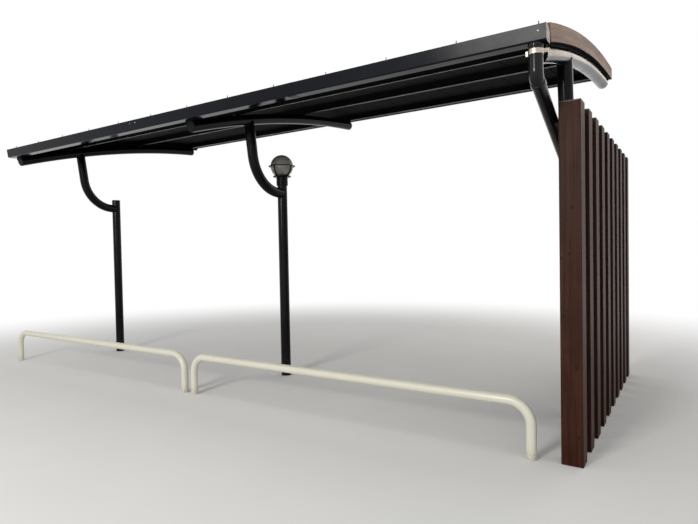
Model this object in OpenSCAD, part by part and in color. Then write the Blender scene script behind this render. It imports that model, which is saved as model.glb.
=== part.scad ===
// Arched cycle shelter: three gooseneck posts carry tube beams, purlins and a ribbed
// roof deck, with a box gutter in front, curved verge boards, a downspout, a globe lamp,
// a post screen at the right end and two floor hoops.
// X runs along the shelter, Y to the back, Z up; the origin is the middle post's foot.

/* [Posts and arms] */
// distance between neighbouring posts
bay = 2200; // [1600:10:3000]
// outside diameter of posts and arms
post_d = 76.3; // [60:0.1:90]
// wall of the post and arm tube
post_wall = 3.2; // [2:0.1:6]
// height of the post tube
post_h = 1532; // [1400:1:1620]
// thickness of the plate that closes the post's foot
post_foot_t = 6; // [4:0.5:12]
// how much wider a post cap is than the post, on the diameter
cap_over = 3; // [0:0.5:10]
// height of a post cap
cap_h = 9; // [5:0.5:20]
// how far a post cap plugs into the post
cap_plug = 22; // [10:1:60]
// drop from the post's top to the axis of its arm
arm_drop = 77; // [50:1:200]
// distance of the arm's lowest point in front of the post's axis
arm_low = 36; // [20:1:60]
// radius of the arm's bend, on its axis
arm_bend = 298; // [240:1:360]
// forward lean of the arm's upper part
arm_lean = 7.5; // [0:0.5:14]
// how far the arm's top rises past the beam's underside
arm_lap = 27; // [8:1:30]
// clearance between parts that only touch
seat = 0.3; // [0.2:0.05:0.6]

/* [Beams] */
// outside diameter of the arched beam
beam_d = 76.3; // [60:0.1:90]
// wall of the beam tube
beam_wall = 3.2; // [2:0.1:5]
// radius of the roof's arch, on the beam's axis
arch_r = 8235; // [7000:5:12000]
// height of the beam's axis at the arch's crown
crown_z = 2188.6; // [2150:0.1:2400]
// distance of the arch's crown behind the posts
crown_y = 1526; // [1300:1:1800]
// front end of the beams
beam_front = -921; // [-960:1:-880]
// rear end of the beams
beam_back = 996; // [900:1:1040]
// thickness of the beam's end plug outside the tube
plug_t = 4; // [2:0.5:8]
// how far an end plug reaches into the beam
plug_in = 16; // [8:1:40]

/* [Roof] */
// how far the roof reaches past the end posts
roof_over = 50; // [46:1:200]
// width of a purlin along the slope
purlin_w = 40; // [30:1:60]
// height of a purlin
purlin_h = 48.6; // [40:0.1:60]
// wall of a purlin
purlin_wall = 2; // [1.5:0.1:4]
// lip under the purlin's front edge
purlin_lip = 9; // [5:1:16]
// middle of the lower purlin
purlin_a_y = -468; // [-520:1:-420]
// middle of the upper purlin
purlin_b_y = 287; // [100:1:400]
// distance of the rear purlin's middle from the beams' rear ends
purlin_c_in = 11; // [0:1:40]
// width of the front purlin
front_w = 28; // [20:1:40]
// height of the front purlin's underside over the gutter's
front_up = 16; // [14:1:24]
// thickness of the saddles between beam and purlin
saddle_t = 3; // [2:0.5:10]
// how far a saddle reaches down the beam's sides
saddle_side = 7; // [4:1:20]
// width of a saddle across the beam
saddle_w = 48; // [36:1:56]
// width of the plate at the front of the front purlin's saddles
plate_w = 70; // [56:1:74]
// thickness of that plate
plate_t = 12; // [6:1:16]
// thickness of the side rails between the deck's edges and the verge boards
rail_t = 3; // [2:0.5:6]
// distance between deck ribs
rib_pitch = 166.66; // [140:0.01:200]
// height of a deck rib
rib_h = 18; // [10:1:26]
// width of a deck rib
rib_w = 9; // [7:0.5:14]
// thickness of the deck sheet
deck_t = 1.5; // [1:0.1:2]
// how far the deck reaches over the gutter
deck_over = 14; // [8:1:24]
// distance of the roof's rear face behind the beams' rear ends
roof_tail = 121; // [60:1:180]

/* [Verge and rear boards] */
// height of the verge board
verge_h = 78; // [70:1:85]
// thickness of the verge board
verge_t = 22; // [14:1:30]
// how far the verge board stands over the deck's ribs
verge_up = 12; // [6:1:16]
// height of the rear board
rear_h = 66; // [50:1:76]
// thickness of the rear board
rear_t = 18; // [12:1:26]

/* [Gutter] */
// distance between the beams' front ends and the gutter's rear face
gutter_gap = 9; // [6:0.5:16]
// depth of the gutter from front to rear, at its top
gutter_w = 68; // [66:1:90]
// height of the gutter's front face
gutter_h = 67; // [60:1:90]
// drop from the deck to the gutter's underside
gutter_drop = 57.1; // [52:0.1:64]
// lean of the front face over its height
gutter_lean = 10; // [0:1:16]
// radius of the lower front edge
gutter_round = 8; // [4:0.5:14]
// lip along the top of the front face
gutter_lip = 9; // [5:0.5:16]
// height of the gutter's rear wall
gutter_back_h = 48; // [40:1:50]
// wall of the gutter
gutter_wall = 2; // [1.5:0.1:3]
// thickness of a gutter end cap
gutter_cap_t = 6; // [3:0.5:12]
// how far an end cap stands proud of the gutter
gutter_cap_over = 1; // [0:0.5:3]
// how far the outlet reaches down into the downspout
outlet_down = 30; // [16:1:60]
// wall of the outlet
outlet_wall = 2; // [1.5:0.1:4]

/* [Downspout] */
// outside diameter of the downspout
pipe_d = 60; // [48:0.5:60.5]
// wall of the downspout
pipe_wall = 2.5; // [1.8:0.1:4]
// distance of the downspout's axis from the gutter's rear face
pipe_in = 34.5; // [33:0.5:36]
// drop from the gutter to the corner of the upper knee
knee_drop = 139; // [110:1:180]
// fall of the sloping length, degrees below level
pipe_fall = 24; // [15:1:35]
// radius of the knees, on the pipe's axis
knee_r = 45; // [38:1:90]
// gap between the downspout and the post
pipe_gap = 12; // [6:1:30]
// height of the shoe's top
shoe_z = 130; // [100:1:200]
// turn of the shoe, degrees
shoe_turn = 60; // [45:1:70]
// width of the clamp bands
band_w = 21; // [14:1:40]
// thickness of the clamp bands
band_t = 2; // [1:0.1:4]
// drop from the gutter to the middle of the upper clamp
clamp_drop = 37; // [20:1:50]
// length of the clamp's tab from the pipe's axis, along the beam's slope
tab_l = 76; // [60:1:140]
// height of the clamp's tab
tab_w = 16; // [10:0.5:24]
// how far the tab's middle starts over the band's middle
tab_up = 3; // [0:0.5:6]
// thickness of the clamp's tab
tab_t = 3; // [2:0.5:6]
// drop from the lower knee's corner to the upper band
band_drop = 160; // [100:1:300]
// height of the lower band
band_low = 360; // [200:1:600]
// width of the web between post and pipe in a band
band_web = 10; // [6:1:20]

/* [Lamp] */
// how much wider the sleeve is than the post, on the diameter
sleeve_over = 13.7; // [8:0.1:30]
// length of the sleeve
sleeve_h = 60; // [40:1:60]
// how far the sleeve reaches down the post
sleeve_lap = 15; // [10:1:30]
// how much narrower the neck is than the sleeve, on the diameter
neck_in = 8; // [2:1:12]
// wall of the neck
neck_wall = 6; // [3:0.5:10]
// height of the collar's top over the post's
collar_up = 60; // [56:1:80]
// diameter of the collar under the globe
collar_d = 141; // [125:1:170]
// thickness of the collar
collar_t = 8; // [4:0.5:14]
// diameter of the globe
globe_d = 178; // [170:1:190]
// height of the globe's middle over the collar
globe_up = 77; // [70:1:82]
// thickness of the globe
globe_t = 3; // [2:0.5:5]
// gap between the globe and its ring
ring_gap = 2; // [1:0.5:4]
// width of the ring, outwards
ring_w = 14.5; // [8:0.5:24]
// thickness of the ring
ring_t = 4; // [3:0.5:8]
// number of ribs between ring and collar
cage_n = 4; // [3:1:8]
// width of a rib
cage_w = 10; // [6:0.5:16]
// thickness of a rib
cage_t = 4; // [3:0.5:8]

/* [Screen] */
// number of screen columns
column_n = 10; // [4:1:12]
// side of a square column
column_w = 95; // [80:1:110]
// distance between columns
column_pitch = 215; // [150:1:300]
// height of a column with its cap
column_h = 1648; // [1200:1:1780]
// front face of the first column
column_y = -755; // [-900:1:-600]
// gap between the right post and the columns
column_gap = 7.85; // [4:0.05:80]
// wall of a column
column_wall = 3; // [2:0.5:5]
// thickness of a column cap
column_cap_t = 6; // [3:0.5:12]
// how far a column cap plugs into its column
column_plug = 15; // [8:1:40]
// play between a column and its cap's plug
column_play = 1; // [0.5:0.1:3]

/* [Floor hoops] */
// length of a hoop between its legs
hoop_l = 2320; // [1500:10:2330]
// height of a hoop
hoop_h = 292; // [200:1:400]
// outside diameter of the hoop tube
hoop_d = 48.6; // [34:0.1:60]
// wall of the hoop tube
hoop_wall = 2.4; // [1.8:0.1:4]
// radius of the hoop's bends, on the axis
hoop_bend = 110; // [80:5:160]
// distance between the neighbouring legs of the two hoops
hoop_gap = 100; // [70:5:200]
// right leg of the right hoop
hoop_x = 2115; // [2000:1:2150]
// distance of the hoops in front of the posts
hoop_y = -760; // [-850:1:-600]

/* [Hidden] */
$fn = 96;
// a cut reaches this far past the face it opens
past = 1;
steel_black = "#17181b";
trim_black = "#141416";
roof_grey = "#26282c";
timber_brown = "#8a6a52";
band_metal = "#b9ab98";

// radii about the arch's axis, from the beam outwards
arch_z = crown_z - arch_r;
beam_low = arch_r - beam_d / 2;
beam_top = arch_r + beam_d / 2;
purlin_r = beam_top + saddle_t;
deck_r = purlin_r + purlin_h + seat;
pan_r = deck_r + deck_t;
rib_r = pan_r + rib_h;
verge_top = rib_r + verge_up;
verge_r = verge_top - verge_h;
function ang(y, r) = asin((y - crown_y) / r);
function arch_at(y, r) = arch_z + sqrt(r * r - (y - crown_y) * (y - crown_y));

post_x = [-bay, 0, bay];
post_id = post_d - 2 * post_wall;
beam_id = beam_d - 2 * beam_wall;
front_a = ang(beam_front, beam_top);
back_a = ang(beam_back, beam_top);
roof_half = bay + roof_over;
inner_half = roof_half - verge_t;
deck_half = inner_half - seat;
// distance of the side rails' inner faces from the end beams' axes
rail_x = deck_half - rail_t - bay;
roof_back = beam_back + roof_tail;
gutter_back = beam_front - gutter_gap;
gutter_y = gutter_back - gutter_w;
gutter_low = gutter_y + gutter_lean;
gutter_z = arch_at(gutter_back, deck_r) - gutter_drop;
gutter_top = gutter_z + gutter_h;

// turns a profile of [radius, distance from x1 to the left] about the arch's axis
module arch_sweep(x1, a0, a1) {
  translate([x1, crown_y, arch_z]) rotate([-a0, 0, 0]) rotate([0, -90, 0])
    rotate_extrude(angle = a1 - a0, $fn = 240) children();
}

// stands a piece on the arch at the angle a, its base at the radius r
module on_arch(a, r) {
  translate([0, crown_y, arch_z]) rotate([-a, 0, 0]) translate([0, 0, r]) children();
}

// round bar of diameter d along the arch
module arch_bar(x, d, a0, a1) {
  arch_sweep(x, a0, a1) translate([arch_r, 0]) circle(d = d);
}

// runs an outline drawn in Y and Z from x0 to x1
module along_x(x0, x1) {
  translate([x0, 0, 0]) rotate([90, 0, 90]) linear_extrude(x1 - x0) children();
}

// posts
module post(x) {
  color(steel_black) translate([x, 0, 0]) difference() {
    cylinder(d = post_d, h = post_h);
    translate([0, 0, post_foot_t]) cylinder(d = post_id, h = post_h);
  }
}
module post_left() { post(-bay); }
module post_middle() { post(0); }
module post_right() { post(bay); }

// cap with a bevelled rim and a plug inside the post
module post_cap(x) {
  bevel = cap_h / 3;
  color(trim_black) translate([x, 0, post_h + seat]) {
    cylinder(d = post_d + cap_over, h = cap_h - bevel);
    translate([0, 0, cap_h - bevel])
      cylinder(d1 = post_d + cap_over, d2 = post_d + cap_over - 8, h = bevel);
    translate([0, 0, -cap_plug]) cylinder(d = post_id - 2 * seat, h = cap_plug);
  }
}
module post_cap_left() { post_cap(-bay); }
module post_cap_right() { post_cap(bay); }

// gooseneck arms: a bend that leaves the post and a straight top, cut to the beam's round
arm_z = post_h - arm_drop;
arm_top_y = -arm_low - arm_bend * cos(arm_lean);
arm_top_z = arm_z + arm_bend - arm_bend * sin(arm_lean);
arm_tip_y = arm_top_y - (arch_at(arm_top_y, beam_low) - arm_top_z) * tan(arm_lean);
arm_len = (arch_at(arm_tip_y, beam_low) - arm_top_z) / cos(arm_lean) + arm_lap;
arm_turn = 90 - arm_lean + asin(arm_low / arm_bend);
module arm_line(d, len) {
  translate([0, -arm_low, arm_bend]) rotate([90, 0, 90]) rotate([0, 0, 180 + arm_lean]) {
    rotate_extrude(angle = arm_turn) translate([arm_bend, 0]) circle(d = d);
    translate([arm_bend, 0, 0]) rotate([90, 0, 0]) cylinder(d = d, h = len);
  }
}
module arm(x) {
  color(steel_black) difference() {
    translate([x, 0, arm_z]) arm_line(post_d, arm_len);
    translate([x, 0, arm_z]) arm_line(post_id, arm_len - 40);
    translate([x, 0, 0]) cylinder(d = post_d + 2 * seat, h = post_h);
    translate([x, 0, 0]) on_arch(ang(arm_tip_y, arch_r), arch_r) translate([0, post_d, 0])
      rotate([90, 0, 0]) cylinder(d = beam_d + 2 * seat, h = 2 * post_d);
  }
}
module arm_left() { arm(-bay); }
module arm_middle() { arm(0); }
module arm_right() { arm(bay); }

// beams
module beam(x) {
  color(steel_black) difference() {
    arch_bar(x, beam_d, front_a, back_a);
    arch_bar(x, beam_id, front_a - 1, back_a + 1);
  }
}
module beam_left() { beam(-bay); }
module beam_middle() { beam(0); }
module beam_right() { beam(bay); }

module plug(x, a, s) {
  translate([x, 0, 0]) on_arch(a, arch_r) rotate([90 * s, 0, 0]) {
    translate([0, 0, seat]) cylinder(d1 = beam_d, d2 = beam_d - 3, h = plug_t - seat);
    translate([0, 0, -plug_in]) cylinder(d = beam_id - 4 * seat, h = plug_in + seat);
  }
}
module beam_plugs() {
  color(trim_black) for (x = post_x) {
    plug(x, front_a, 1);
    plug(x, back_a, -1);
  }
}

// purlins: box sections with a lip under their front edge, their ends on the side rails
purlin_half = bay + rail_x - seat;
module purlin(y) {
  bore_w = purlin_w - 2 * purlin_wall;
  bore_h = purlin_h - 2 * purlin_wall;
  color(steel_black) on_arch(ang(y, purlin_r), purlin_r) {
    difference() {
      translate([-purlin_half, -purlin_w / 2, 0]) cube([2 * purlin_half, purlin_w, purlin_h]);
      translate([-purlin_half - past, -bore_w / 2, purlin_wall])
        cube([2 * (purlin_half + past), bore_w, bore_h]);
    }
    translate([-purlin_half, -purlin_w / 2 - purlin_lip, 0])
      cube([2 * purlin_half, purlin_lip, purlin_wall]);
  }
}
purlin_c_y = beam_back - purlin_c_in;
module purlin_lower() { purlin(purlin_a_y); }
module purlin_upper() { purlin(purlin_b_y); }
module purlin_rear() { purlin(purlin_c_y); }

// the front purlin stands upright behind the gutter
front_y = gutter_back + seat;
front_bottom = gutter_z + front_up;
front_h = arch_at(gutter_back, deck_r) - seat - front_bottom;
module purlin_front() {
  color(steel_black) difference() {
    translate([-deck_half, front_y, front_bottom]) cube([2 * deck_half, front_w, front_h]);
    translate([-deck_half - past, front_y + purlin_wall, front_bottom + purlin_wall])
      cube([2 * (deck_half + past), front_w - 2 * purlin_wall, front_h - 2 * purlin_wall]);
  }
}

// saddles between the beams' tops and the purlins, hollowed to the beam's round; the side
// rails pass beside them
saddle_half = min(saddle_w / 2, rail_x - seat);
module saddle(x, y) {
  block_l = purlin_w - 4;
  block_h = saddle_t + saddle_side;
  translate([x, 0, 0]) on_arch(ang(y, purlin_r), purlin_r - seat) difference() {
    translate([-saddle_half, -block_l / 2, -block_h]) cube([2 * saddle_half, block_l, block_h]);
    translate([0, purlin_w, arch_r - purlin_r + seat]) rotate([90, 0, 0])
      cylinder(d = beam_d + 2 * seat, h = 2 * purlin_w);
  }
}
// the front purlin's saddle ends in a square plate, flush with the plug in the beam's end
module front_saddle(x) {
  y0 = beam_front - plug_t;
  block_l = front_y + front_w - 1 - y0;
  low_z = arch_at(y0, arch_r);
  block_h = front_bottom - seat - low_z;
  translate([x, 0, 0]) difference() {
    union() {
      translate([-saddle_half, y0, low_z]) cube([2 * saddle_half, block_l, block_h]);
      translate([-plate_w / 2, y0, low_z]) cube([plate_w, plate_t, block_h]);
    }
    on_arch(ang(y0 + block_l / 2, arch_r), arch_r) translate([0, front_w, 0]) rotate([90, 0, 0])
      cylinder(d = beam_d + 2 * seat, h = 2 * front_w);
  }
}
module purlin_saddles() {
  color(trim_black) for (x = post_x) {
    front_saddle(x);
    saddle(x, purlin_a_y);
    saddle(x, purlin_b_y);
    saddle(x, purlin_c_y);
  }
}

// roof deck: the outer side of a folded rib and its inner side, as [radius, distance]
function rib_over(c) = [
  [pan_r, c - rib_w / 2], [rib_r, c - rib_w / 2], [rib_r, c + rib_w / 2], [pan_r, c + rib_w / 2]];
function rib_under(c) = [
  [deck_r, c + rib_w / 2 - deck_t], [rib_r - deck_t, c + rib_w / 2 - deck_t],
  [rib_r - deck_t, c - rib_w / 2 + deck_t], [deck_r, c - rib_w / 2 + deck_t]];
// one folded sheet of width w with ribs at the distances cs
function sheet(cs, w) = concat(
  [[deck_r, 0], [pan_r, 0]],
  [for (c = cs) each rib_over(c)],
  [[pan_r, w], [deck_r, w]],
  [for (i = [len(cs) - 1 : -1 : 0]) each rib_under(cs[i])]);
deck_a0 = ang(gutter_back - deck_over, deck_r);
deck_a1 = ang(roof_back - rear_t - seat, deck_r);
// the two sheets meet inside the first rib right of the middle
seam_x = rib_pitch / 2;
seam_play = 0.5;
rib_n = floor(roof_half / rib_pitch);
right_cs = [for (k = [rib_n : -1 : 0])
  let (c = deck_half - seam_x - k * rib_pitch) if (c > rib_w) c];
left_w = deck_half + seam_x - seam_play;
left_cs = [for (k = [1 : 2 * rib_n])
  let (c = k * rib_pitch - seam_play) if (c < left_w - rib_w) c];
module roof_deck_right() {
  right_w = right_cs[len(right_cs) - 1] + rib_w / 2;
  color(roof_grey) difference() {
    arch_sweep(deck_half, deck_a0, deck_a1) polygon(sheet(right_cs, right_w));
    arch_sweep(deck_half, deck_a0 - 1, deck_a1 + 1)
      translate([deck_r - past, right_w - rib_w / 2]) square([past + deck_t + seat, rib_w]);
  }
}
module roof_deck_left() {
  color(roof_grey) arch_sweep(seam_x - seam_play, deck_a0, deck_a1) {
    polygon(sheet(left_cs, left_w));
    translate([deck_r, 0]) square([rib_h - 5, deck_t]);
  }
}

// verge boards along the roof's ends, and the board across its rear
module verge(x1) {
  color(timber_brown) arch_sweep(x1, ang(gutter_back + 3, verge_top), ang(roof_back, verge_r))
    translate([verge_r, 0]) square([verge_h, verge_t]);
}
module verge_left() { verge(-inner_half); }
module verge_right() { verge(roof_half); }
module rear_board() {
  color(steel_black) on_arch(ang(roof_back, verge_top), verge_top - rear_h)
    translate([-deck_half, -rear_t, 0]) cube([2 * deck_half, rear_t, rear_h]);
}

// side rails: a web from the beam's shoulder up to the deck, and a flange under the verge board
rail_a0 = ang(front_y + front_w + seat, deck_r);
rail_low = arch_r + sqrt(max(0, pow(beam_d / 2 + seat, 2) - rail_x * rail_x));
module side_rail() {
  flange_r = verge_r - seat - rail_t;
  web_at = verge_t + seat;
  color(steel_black) arch_sweep(roof_half, rail_a0, deck_a1) {
    translate([rail_low, web_at]) square([deck_r - seat - rail_low, rail_t]);
    translate([flange_r, 0]) square([rail_t, web_at + rail_t]);
  }
}
module side_rail_left() { mirror([1, 0, 0]) side_rail(); }
module side_rail_right() { side_rail(); }

// gutter
gutter_half = roof_half - gutter_cap_t;
pipe_y = gutter_back - pipe_in;
pipe_id = pipe_d - 2 * pipe_wall;
// points round the lower front edge, from the front face to the underside, at the radius r
gutter_tilt = atan(gutter_lean / gutter_h);
floor_front = gutter_low + gutter_round * tan(45 - gutter_tilt / 2);
function front_edge(r) = [for (k = [0 : 5]) let (a = 180 + gutter_tilt + (90 - gutter_tilt) * k / 5)
  [floor_front + r * cos(a), gutter_z + gutter_round + r * sin(a)]];
module gutter_outline() {
  inner_edge = front_edge(gutter_round - gutter_wall);
  inside_z = gutter_z + gutter_wall;
  back_z = gutter_z + gutter_back_h;
  polygon(concat(front_edge(gutter_round), [[gutter_back, gutter_z], [gutter_back, back_z],
    [gutter_back - gutter_wall, back_z], [gutter_back - gutter_wall, inside_z]],
    [for (k = [5 : -1 : 0]) inner_edge[k]], [[gutter_y + gutter_wall, gutter_top - gutter_wall],
    [gutter_y + gutter_lip, gutter_top - gutter_wall], [gutter_y + gutter_lip, gutter_top],
    [gutter_y, gutter_top]]));
}
module gutter() {
  color(steel_black) difference() {
    along_x(-gutter_half, gutter_half) gutter_outline();
    translate([bay, outlet_y, gutter_z - past]) cylinder(r = outlet_r + 1, h = 2 * past + gutter_wall);
  }
}
module gutter_cap(x0) {
  low = gutter_z - gutter_cap_over;
  top = gutter_top + gutter_cap_over;
  back = gutter_back - seat;
  color(steel_black) along_x(x0, x0 + gutter_cap_t - seat)
    polygon(concat(front_edge(gutter_round + gutter_cap_over), [[back, low],
      [back, gutter_z + gutter_back_h], [gutter_y + 30, top], [gutter_y - gutter_cap_over, top]]));
}
module gutter_cap_left() { gutter_cap(-roof_half); }
module gutter_cap_right() { gutter_cap(gutter_half + seat); }

// flanged outlet that lies in the middle of the gutter's floor and drops into the downspout
floor_back = gutter_back - gutter_wall;
outlet_y = (floor_front + floor_back) / 2;
flange_r = (floor_back - floor_front) / 2 - seat;
outlet_r = min(flange_r - 3, pipe_id / 2 - abs(outlet_y - pipe_y) - seat);
module gutter_outlet() {
  flange_z = gutter_z + gutter_wall + seat;
  flange_t = 2;
  color(trim_black) translate([bay, outlet_y, gutter_z - outlet_down]) difference() {
    union() {
      cylinder(r = outlet_r, h = flange_z - gutter_z + outlet_down + flange_t);
      translate([0, 0, flange_z - gutter_z + outlet_down]) cylinder(r = flange_r, h = flange_t);
    }
    translate([0, 0, -past]) cylinder(r = outlet_r - outlet_wall, h = outlet_down + 20);
  }
}

// downspout, its axis in the right post's plane; distances on the slope run from the
// corner where the upright and the sloping axis meet
pipe_post_y = -(post_d / 2 + pipe_gap + pipe_d / 2);
pipe_run = pipe_post_y - pipe_y;
pipe_top = gutter_z - 1 - seat;
knee_z = gutter_z - knee_drop;
low_knee_z = knee_z - pipe_run * tan(pipe_fall);
knee_turn = 90 - pipe_fall;
knee_t = knee_r * tan(knee_turn / 2);
slope_0 = knee_t + seat;
slope_l = pipe_run / cos(pipe_fall) - 2 * slope_0;
// a bend in the plane of the axis, the turn starting at the angle a0
module knee(y, z, a0, turn, d) {
  translate([0, y, z]) rotate([90, 0, 90]) rotate([0, 0, a0])
    rotate_extrude(angle = turn) translate([knee_r, 0]) circle(d = d);
}
// the bores run past the ends by more, in millimetres or degrees
module upper_line(d, more) {
  translate([0, pipe_y, knee_z + knee_t]) cylinder(d = d, h = pipe_top - knee_z - knee_t + more);
  knee(pipe_y + knee_r, knee_z + knee_t, 180, knee_turn + more, d);
}
module downspout_upper() {
  color(steel_black) translate([bay, 0, 0]) difference() {
    upper_line(pipe_d, 0);
    upper_line(pipe_id, past);
  }
}
module downspout_slope() {
  color(steel_black) translate([bay, pipe_y, knee_z]) rotate([-90 - pipe_fall, 0, 0])
    translate([0, 0, slope_0]) difference() {
      cylinder(d = pipe_d, h = slope_l);
      translate([0, 0, -past]) cylinder(d = pipe_id, h = slope_l + 2 * past);
    }
}
module lower_line(d, more) {
  knee(pipe_post_y - knee_r, low_knee_z - knee_t, 0, knee_turn + more, d);
  translate([0, pipe_post_y, shoe_z - more]) cylinder(d = d, h = low_knee_z - knee_t - shoe_z + more);
}
module downspout_lower() {
  color(steel_black) translate([bay, 0, 0]) difference() {
    lower_line(pipe_d, 0);
    lower_line(pipe_id, past);
  }
}
module shoe_line(d, more) {
  knee(pipe_post_y - knee_r, shoe_z - seat, -shoe_turn - more, shoe_turn + 2 * more, d);
}
module downspout_shoe() {
  color(steel_black) translate([bay, 0, 0]) difference() {
    shoe_line(pipe_d, 0);
    shoe_line(pipe_id, past);
  }
}

// steel band round the pipe; its tab steps out to the beam's right side and rises with it
module downspout_clamp() {
  band_id = pipe_d + 2 * seat;
  band_r = band_id / 2 + band_t;
  side_x = beam_d / 2 + seat;
  step_0 = band_r / 2;
  step_1 = beam_front - plug_t - pipe_y - 2 * tab_t;
  color(band_metal) translate([bay, pipe_y, gutter_z - clamp_drop]) difference() {
    union() {
      translate([0, 0, -band_w / 2]) cylinder(r = band_r, h = band_w);
      translate([0, 0, tab_up]) rotate([-front_a, 0, 0]) translate([0, 0, -tab_w / 2])
        linear_extrude(tab_w) polygon([[band_r - tab_t, 0], [band_r, 0], [band_r, step_0],
          [side_x + tab_t, step_1], [side_x + tab_t, tab_l], [side_x, tab_l],
          [side_x, step_1 + 1], [band_r - tab_t, step_0 + 1]]);
    }
    translate([0, 0, -2 * band_w]) cylinder(d = band_id, h = 4 * band_w);
  }
}
// bands that hold the pipe's upright length to the post
module downspout_bands() {
  post_hole = post_d + 2 * seat;
  pipe_hole = pipe_d + 2 * seat;
  color(band_metal) for (z = [low_knee_z - band_drop, band_low]) translate([bay, 0, z]) difference() {
    union() {
      cylinder(d = post_hole + 2 * band_t, h = band_w);
      translate([0, pipe_post_y, 0]) cylinder(d = pipe_hole + 2 * band_t, h = band_w);
      translate([-band_web / 2, pipe_post_y, 0]) cube([band_web, -pipe_post_y, band_w]);
    }
    translate([0, 0, -past]) cylinder(d = post_hole, h = band_w + 2 * past);
    translate([0, pipe_post_y, -past]) cylinder(d = pipe_hole, h = band_w + 2 * past);
  }
}

// lamp on the middle post: sleeve, neck and collar in one, open inside for the wires
sleeve_d = post_d + sleeve_over;
neck_d = sleeve_d - neck_in;
sleeve_z = post_h - sleeve_lap;
collar_z = post_h + collar_up;
mouth_z = collar_z + seat;
globe_z = collar_z + globe_up;
globe_r = globe_d / 2;
module lamp_base() {
  color(trim_black) difference() {
    union() {
      translate([0, 0, sleeve_z]) cylinder(d = sleeve_d, h = sleeve_h);
      translate([0, 0, sleeve_z]) cylinder(d = neck_d, h = collar_z - sleeve_z);
      translate([0, 0, collar_z - collar_t]) cylinder(d = collar_d, h = collar_t);
    }
    translate([0, 0, sleeve_z - past]) cylinder(d = post_d + 2 * seat, h = sleeve_lap + seat + past);
    translate([0, 0, post_h]) cylinder(d = neck_d - 2 * neck_wall, h = collar_up + past);
  }
}
module lamp_globe() {
  color("#c9c9c4") difference() {
    translate([0, 0, globe_z]) sphere(r = globe_r);
    translate([0, 0, globe_z]) sphere(r = globe_r - globe_t);
    translate([-globe_r, -globe_r, mouth_z - globe_r]) cube([globe_d, globe_d, globe_r]);
  }
}
// flat ring round the globe's middle on curved ribs that stand on the collar
module lamp_cage() {
  cage_r = globe_r + ring_gap;
  drop = asin((globe_z - mouth_z) / (cage_r + cage_t));
  color(trim_black) translate([0, 0, globe_z]) {
    difference() {
      translate([0, 0, -ring_t / 2]) cylinder(r = cage_r + ring_w, h = ring_t);
      translate([0, 0, -ring_t]) cylinder(r = cage_r, h = 2 * ring_t);
    }
    for (k = [0 : cage_n - 1]) rotate([90, 0, 360 / cage_n * k])
      translate([0, 0, -cage_w / 2]) rotate([0, 0, -drop])
        rotate_extrude(angle = drop) translate([cage_r, 0]) square([cage_t, cage_w]);
  }
}

// screen of square columns beside the right post
screen_x = bay + post_d / 2 + column_gap;
module screen_columns() {
  bore_w = column_w - 2 * column_wall;
  color("#4a2d22") for (k = [0 : column_n - 1])
    translate([screen_x, column_y + k * column_pitch, 0]) difference() {
      cube([column_w, column_w, column_h - column_cap_t - seat]);
      translate([column_wall, column_wall, -past]) cube([bore_w, bore_w, column_h]);
    }
}
module screen_caps() {
  inset = column_wall + column_play;
  plug_w = column_w - 2 * inset;
  color("#33201a") for (k = [0 : column_n - 1])
    translate([screen_x, column_y + k * column_pitch, column_h - column_cap_t]) {
      cube([column_w, column_w, column_cap_t]);
      translate([inset, inset, -column_plug]) cube([plug_w, plug_w, column_plug]);
    }
}

// floor hoops
module hoop_line(d, more) {
  leg = hoop_h - hoop_d / 2 - hoop_bend;
  for (x = [0, hoop_l]) translate([x, 0, -more]) cylinder(d = d, h = leg + more);
  for (s = [0, 1]) translate([s * hoop_l + (1 - 2 * s) * hoop_bend, 0, leg])
    rotate([90, 0, 0]) rotate([0, 0, 90 * (1 - s)])
      rotate_extrude(angle = 90) translate([hoop_bend, 0]) circle(d = d);
  translate([hoop_bend, 0, leg + hoop_bend]) rotate([0, 90, 0])
    cylinder(d = d, h = hoop_l - 2 * hoop_bend);
}
module hoop(x) {
  color("#d9d3b8") translate([x, hoop_y, 0]) difference() {
    hoop_line(hoop_d, 0);
    hoop_line(hoop_d - 2 * hoop_wall, past);
  }
}
module floor_hoop_right() { hoop(hoop_x - hoop_l); }
module floor_hoop_left() { hoop(hoop_x - 2 * hoop_l - hoop_gap); }

post_left();
post_middle();
post_right();
post_cap_left();
post_cap_right();
arm_left();
arm_middle();
arm_right();
beam_left();
beam_middle();
beam_right();
beam_plugs();
purlin_saddles();
purlin_front();
purlin_lower();
purlin_upper();
purlin_rear();
roof_deck_left();
roof_deck_right();
verge_left();
verge_right();
side_rail_left();
side_rail_right();
rear_board();
gutter();
gutter_cap_left();
gutter_cap_right();
gutter_outlet();
downspout_upper();
downspout_slope();
downspout_lower();
downspout_shoe();
downspout_clamp();
downspout_bands();
lamp_base();
lamp_cage();
lamp_globe();
screen_columns();
screen_caps();
floor_hoop_left();
floor_hoop_right();
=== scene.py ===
import math

import bmesh
import bpy
from mathutils import Matrix, Vector


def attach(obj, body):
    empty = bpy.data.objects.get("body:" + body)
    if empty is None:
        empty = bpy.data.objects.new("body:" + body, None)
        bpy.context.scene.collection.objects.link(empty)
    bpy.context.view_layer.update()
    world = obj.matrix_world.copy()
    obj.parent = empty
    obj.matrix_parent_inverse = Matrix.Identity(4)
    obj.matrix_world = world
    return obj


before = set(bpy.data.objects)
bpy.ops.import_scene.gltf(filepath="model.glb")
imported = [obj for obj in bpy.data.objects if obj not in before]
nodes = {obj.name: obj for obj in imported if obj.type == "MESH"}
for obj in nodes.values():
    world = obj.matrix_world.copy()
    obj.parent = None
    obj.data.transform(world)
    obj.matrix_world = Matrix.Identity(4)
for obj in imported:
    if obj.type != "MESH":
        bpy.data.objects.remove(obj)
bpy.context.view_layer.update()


# The camera stands before the right end at eye height and looks along the shelter
# to its left end, level but for a slight roll, as the photograph does.
lens = bpy.data.cameras.new("camera")
lens.sensor_width = 36
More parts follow.
